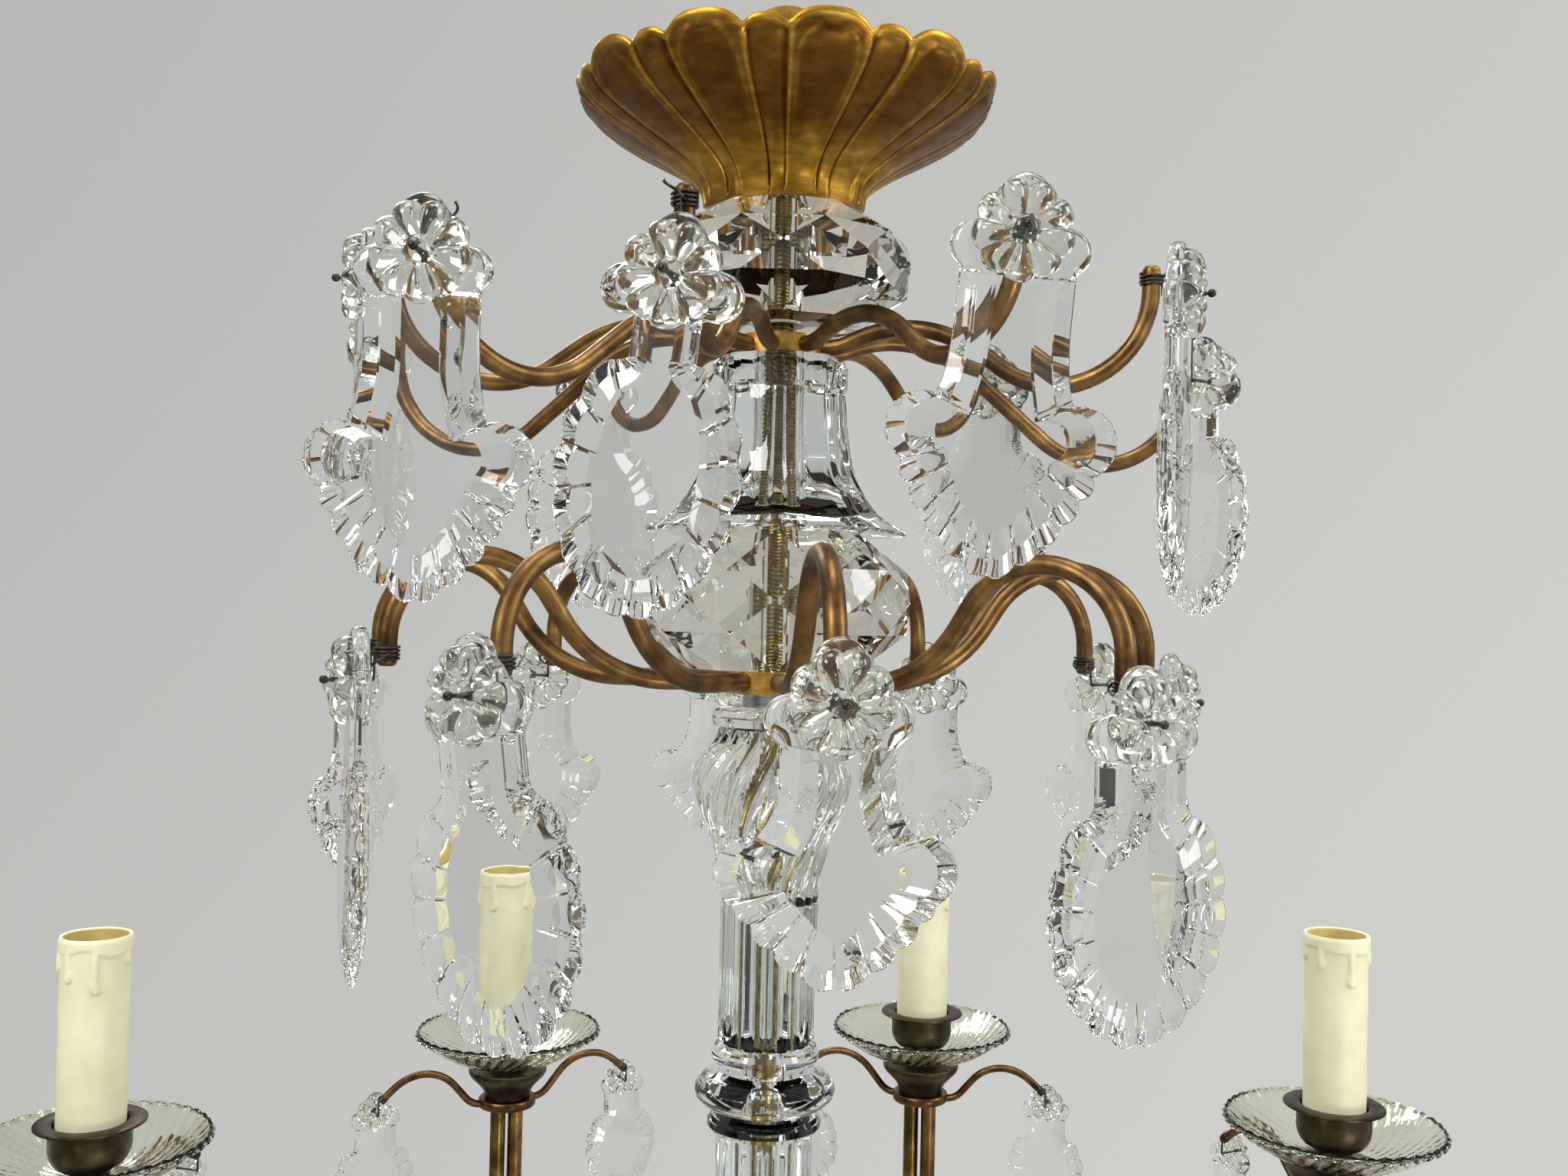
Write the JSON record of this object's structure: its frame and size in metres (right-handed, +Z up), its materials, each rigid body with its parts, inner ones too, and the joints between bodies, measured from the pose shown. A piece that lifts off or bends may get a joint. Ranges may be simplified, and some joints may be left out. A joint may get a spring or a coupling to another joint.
{
  "type": "crystal chandelier",
  "caption": "Hanging candle-style chandelier: stacked cut glass on a stem, two tiers of swinging crystal pendants and a ring of twin-rod arms with drip bowls and sleeves.",
  "frame": {"origin": "centre of the suspension eye's bore, on the stem's axis", "axes": "+Z up along the stem, +Y along the eye's bore and away from the picture's camera, +X to the camera's right"},
  "size_m": [0.5928, 0.5928, 0.5657],
  "materials": {
    "gilt": "antique gilt",
    "aged_brass": "lacquered, dark patina",
    "bronze": "dark bronze",
    "steel": "satin",
    "wire": "oxidised",
    "crystal": "cut and polished",
    "sleeve": "matt ivory",
    "lampholder": "matt"
  },
  "bodies": {
    "frame": {"suspension_eye": "gilt", "stem_rod": "aged_brass", "petal_canopy": "gilt", "stem_nuts": "steel", "upper_ball": "crystal", "upper_hub": "gilt", "upper_arms": "aged_brass", "bell_column": "crystal", "lower_ball": "crystal", "lower_hub": "gilt", "lower_arms": "aged_brass", "baluster": "crystal", "glass_columns": "crystal", "arm_hub": "gilt", "candle_arms": "aged_brass", "drip_hooks": "aged_brass", "cup_seats": "bronze", "bobeches": "crystal", "candle_cups": "bronze", "candle_sleeves": "sleeve", "lampholders": "lampholder", "bottom_ball": "crystal", "bottom_finial": "gilt", "pendant_ties": "wire"},
    "upper_pendant_1": {"upper_pendant_1": "crystal"},
    "upper_pendant_2": {"upper_pendant_2": "crystal"},
    "upper_pendant_3": {"upper_pendant_3": "crystal"},
    "upper_pendant_4": {"upper_pendant_4": "crystal"},
    "upper_pendant_5": {"upper_pendant_5": "crystal"},
    "upper_pendant_6": {"upper_pendant_6": "crystal"},
    "upper_pendant_7": {"upper_pendant_7": "crystal"},
    "upper_pendant_8": {"upper_pendant_8": "crystal"},
    "upper_pendant_9": {"upper_pendant_9": "crystal"},
    "upper_pendant_10": {"upper_pendant_10": "crystal"},
    "lower_pendant_1": {"lower_pendant_1": "crystal"},
    "lower_pendant_2": {"lower_pendant_2": "crystal"},
    "lower_pendant_3": {"lower_pendant_3": "crystal"},
    "lower_pendant_4": {"lower_pendant_4": "crystal"},
    "lower_pendant_5": {"lower_pendant_5": "crystal"},
    "lower_pendant_6": {"lower_pendant_6": "crystal"},
    "lower_pendant_7": {"lower_pendant_7": "crystal"},
    "lower_pendant_8": {"lower_pendant_8": "crystal"},
    "lower_pendant_9": {"lower_pendant_9": "crystal"},
    "lower_pendant_10": {"lower_pendant_10": "crystal"},
    "candle_drop_1": {"candle_drop_1": "crystal"},
    "candle_drop_2": {"candle_drop_2": "crystal"},
    "candle_drop_3": {"candle_drop_3": "crystal"},
    "candle_drop_4": {"candle_drop_4": "crystal"},
    "candle_drop_5": {"candle_drop_5": "crystal"},
    "candle_drop_6": {"candle_drop_6": "crystal"},
    "candle_drop_7": {"candle_drop_7": "crystal"},
    "candle_drop_8": {"candle_drop_8": "crystal"},
    "candle_drop_9": {"candle_drop_9": "crystal"},
    "candle_drop_10": {"candle_drop_10": "crystal"},
    "candle_drop_11": {"candle_drop_11": "crystal"},
    "candle_drop_12": {"candle_drop_12": "crystal"},
    "candle_drop_13": {"candle_drop_13": "crystal"},
    "candle_drop_14": {"candle_drop_14": "crystal"},
    "candle_drop_15": {"candle_drop_15": "crystal"},
    "candle_drop_16": {"candle_drop_16": "crystal"}
  },
  "joints": [
    {"name": "upper_pendant_1_swing", "type": "hinge", "parent": "frame", "child": "upper_pendant_1", "pos_m": [-0.02509, -0.11806, -0.1019], "axis": [-0.2079, -0.9781, 0], "range_deg": [-15, 15]},
    {"name": "upper_pendant_2_swing", "type": "hinge", "parent": "frame", "child": "upper_pendant_2", "pos_m": [0.0615, -0.09747, -0.0839], "axis": [-0.0175, -0.9998, 0], "range_deg": [-15, 15]},
    {"name": "upper_pendant_3_swing", "type": "hinge", "parent": "frame", "child": "upper_pendant_3", "pos_m": [0.11268, -0.04326, -0.0859], "axis": [0.9336, -0.3584, 0], "range_deg": [-15, 15]},
    {"name": "upper_pendant_4_swing", "type": "hinge", "parent": "frame", "child": "upper_pendant_4", "pos_m": [0.1454, 0.03945, -0.0969], "axis": [0.9063, 0.4226, 0], "range_deg": [-15, 15]},
    {"name": "upper_pendant_5_swing", "type": "hinge", "parent": "frame", "child": "upper_pendant_5", "pos_m": [0.07848, 0.09691, -0.0909], "axis": [0.6293, 0.7771, 0], "range_deg": [-15, 15]},
    {"name": "upper_pendant_6_swing", "type": "hinge", "parent": "frame", "child": "upper_pendant_6", "pos_m": [0.00435, 0.12462, -0.0889], "axis": [0.0349, 0.9994, 0], "range_deg": [-15, 15]},
    {"name": "upper_pendant_7_swing", "type": "hinge", "parent": "frame", "child": "upper_pendant_7", "pos_m": [-0.06973, 0.10338, -0.0929], "axis": [-0.5592, 0.829, 0], "range_deg": [-15, 15]},
    {"name": "upper_pendant_8_swing", "type": "hinge", "parent": "frame", "child": "upper_pendant_8", "pos_m": [-0.13973, 0.05086, -0.0889], "axis": [-0.9397, 0.342, 0], "range_deg": [-15, 15]},
    {"name": "upper_pendant_9_swing", "type": "hinge", "parent": "frame", "child": "upper_pendant_9", "pos_m": [-0.121, -0.03017, -0.0839], "axis": [-0.9703, -0.2419, 0], "range_deg": [-15, 15]},
    {"name": "upper_pendant_10_swing", "type": "hinge", "parent": "frame", "child": "upper_pendant_10", "pos_m": [-0.09179, -0.09765, -0.0929], "axis": [-0.0349, -0.9994, 0], "range_deg": [-15, 15]},
    {"name": "lower_pendant_1_swing", "type": "hinge", "parent": "frame", "child": "lower_pendant_1", "pos_m": [0.01525, -0.12418, -0.2038], "axis": [0.1219, -0.9925, 0], "range_deg": [-15, 15]},
    {"name": "lower_pendant_2_swing", "type": "hinge", "parent": "frame", "child": "lower_pendant_2", "pos_m": [0.10023, -0.06709, -0.2108], "axis": [0.3907, -0.9205, 0], "range_deg": [-15, 15]},
    {"name": "lower_pendant_3_swing", "type": "hinge", "parent": "frame", "child": "lower_pendant_3", "pos_m": [0.12304, -0.0043, -0.2088], "axis": [0.9994, -0.0349, 0], "range_deg": [-15, 15]},
    {"name": "lower_pendant_4_swing", "type": "hinge", "parent": "frame", "child": "lower_pendant_4", "pos_m": [0.1173, 0.06502, -0.2068], "axis": [0.8746, 0.4848, 0], "range_deg": [-15, 15]},
    {"name": "lower_pendant_5_swing", "type": "hinge", "parent": "frame", "child": "lower_pendant_5", "pos_m": [0.05874, 0.11047, -0.2088], "axis": [0.4695, 0.8829, 0], "range_deg": [-15, 15]},
    {"name": "lower_pendant_6_swing", "type": "hinge", "parent": "frame", "child": "lower_pendant_6", "pos_m": [-0.01957, 0.12357, -0.2078], "axis": [-0.1564, 0.9877, 0], "range_deg": [-15, 15]},
    {"name": "lower_pendant_7_swing", "type": "hinge", "parent": "frame", "child": "lower_pendant_7", "pos_m": [-0.08691, 0.09, -0.2088], "axis": [-0.6947, 0.7193, 0], "range_deg": [-15, 15]},
    {"name": "lower_pendant_8_swing", "type": "hinge", "parent": "frame", "child": "lower_pendant_8", "pos_m": [-0.13944, 0.03219, -0.20899], "axis": [-0.9744, 0.225, 0], "range_deg": [-15, 15]},
    {"name": "lower_pendant_9_swing", "type": "hinge", "parent": "frame", "child": "lower_pendant_9", "pos_m": [-0.11757, -0.04279, -0.20499], "axis": [-0.9397, -0.342, 0], "range_deg": [-15, 15]},
    {"name": "lower_pendant_10_swing", "type": "hinge", "parent": "frame", "child": "lower_pendant_10", "pos_m": [-0.07176, -0.10249, -0.20499], "axis": [-0.5736, -0.8192, 0], "range_deg": [-15, 15]},
    {"name": "candle_drop_1_swing", "type": "hinge", "parent": "frame", "child": "candle_drop_1", "pos_m": [0.07057, -0.2634, -0.41921], "axis": [0.4695, -0.8829, 0], "range_deg": [-20, 20]},
    {"name": "candle_drop_2_swing", "type": "hinge", "parent": "frame", "child": "candle_drop_2", "pos_m": [0.17891, -0.2058, -0.41921], "axis": [0.4695, -0.8829, 0], "range_deg": [-20, 20]},
    {"name": "candle_drop_3_swing", "type": "hinge", "parent": "frame", "child": "candle_drop_3", "pos_m": [0.23615, -0.13635, -0.41921], "axis": [0.9563, -0.2924, 0], "range_deg": [-20, 20]},
    {"name": "candle_drop_4_swing", "type": "hinge", "parent": "frame", "child": "candle_drop_4", "pos_m": [0.27203, -0.01901, -0.41921], "axis": [0.9563, -0.2924, 0], "range_deg": [-20, 20]},
    {"name": "candle_drop_5_swing", "type": "hinge", "parent": "frame", "child": "candle_drop_5", "pos_m": [0.2634, 0.07057, -0.41921], "axis": [0.8829, 0.4695, 0], "range_deg": [-20, 20]},
    {"name": "candle_drop_6_swing", "type": "hinge", "parent": "frame", "child": "candle_drop_6", "pos_m": [0.2058, 0.17891, -0.41921], "axis": [0.8829, 0.4695, 0], "range_deg": [-20, 20]},
    {"name": "candle_drop_7_swing", "type": "hinge", "parent": "frame", "child": "candle_drop_7", "pos_m": [0.13635, 0.23615, -0.41921], "axis": [0.2924, 0.9563, 0], "range_deg": [-20, 20]},
    {"name": "candle_drop_8_swing", "type": "hinge", "parent": "frame", "child": "candle_drop_8", "pos_m": [0.01901, 0.27203, -0.41921], "axis": [0.2924, 0.9563, 0], "range_deg": [-20, 20]},
    {"name": "candle_drop_9_swing", "type": "hinge", "parent": "frame", "child": "candle_drop_9", "pos_m": [-0.07057, 0.2634, -0.41921], "axis": [-0.4695, 0.8829, 0], "range_deg": [-20, 20]},
    {"name": "candle_drop_10_swing", "type": "hinge", "parent": "frame", "child": "candle_drop_10", "pos_m": [-0.17891, 0.2058, -0.41921], "axis": [-0.4695, 0.8829, 0], "range_deg": [-20, 20]},
    {"name": "candle_drop_11_swing", "type": "hinge", "parent": "frame", "child": "candle_drop_11", "pos_m": [-0.23615, 0.13635, -0.41921], "axis": [-0.9563, 0.2924, 0], "range_deg": [-20, 20]},
    {"name": "candle_drop_12_swing", "type": "hinge", "parent": "frame", "child": "candle_drop_12", "pos_m": [-0.27203, 0.01901, -0.41921], "axis": [-0.9563, 0.2924, 0], "range_deg": [-20, 20]},
    {"name": "candle_drop_13_swing", "type": "hinge", "parent": "frame", "child": "candle_drop_13", "pos_m": [-0.2634, -0.07057, -0.41921], "axis": [-0.8829, -0.4695, 0], "range_deg": [-20, 20]},
    {"name": "candle_drop_14_swing", "type": "hinge", "parent": "frame", "child": "candle_drop_14", "pos_m": [-0.2058, -0.17891, -0.41921], "axis": [-0.8829, -0.4695, 0], "range_deg": [-20, 20]},
    {"name": "candle_drop_15_swing", "type": "hinge", "parent": "frame", "child": "candle_drop_15", "pos_m": [-0.13635, -0.23615, -0.41921], "axis": [-0.2924, -0.9563, 0], "range_deg": [-20, 20]},
    {"name": "candle_drop_16_swing", "type": "hinge", "parent": "frame", "child": "candle_drop_16", "pos_m": [-0.01901, -0.27203, -0.41921], "axis": [-0.2924, -0.9563, 0], "range_deg": [-20, 20]}
  ]
}
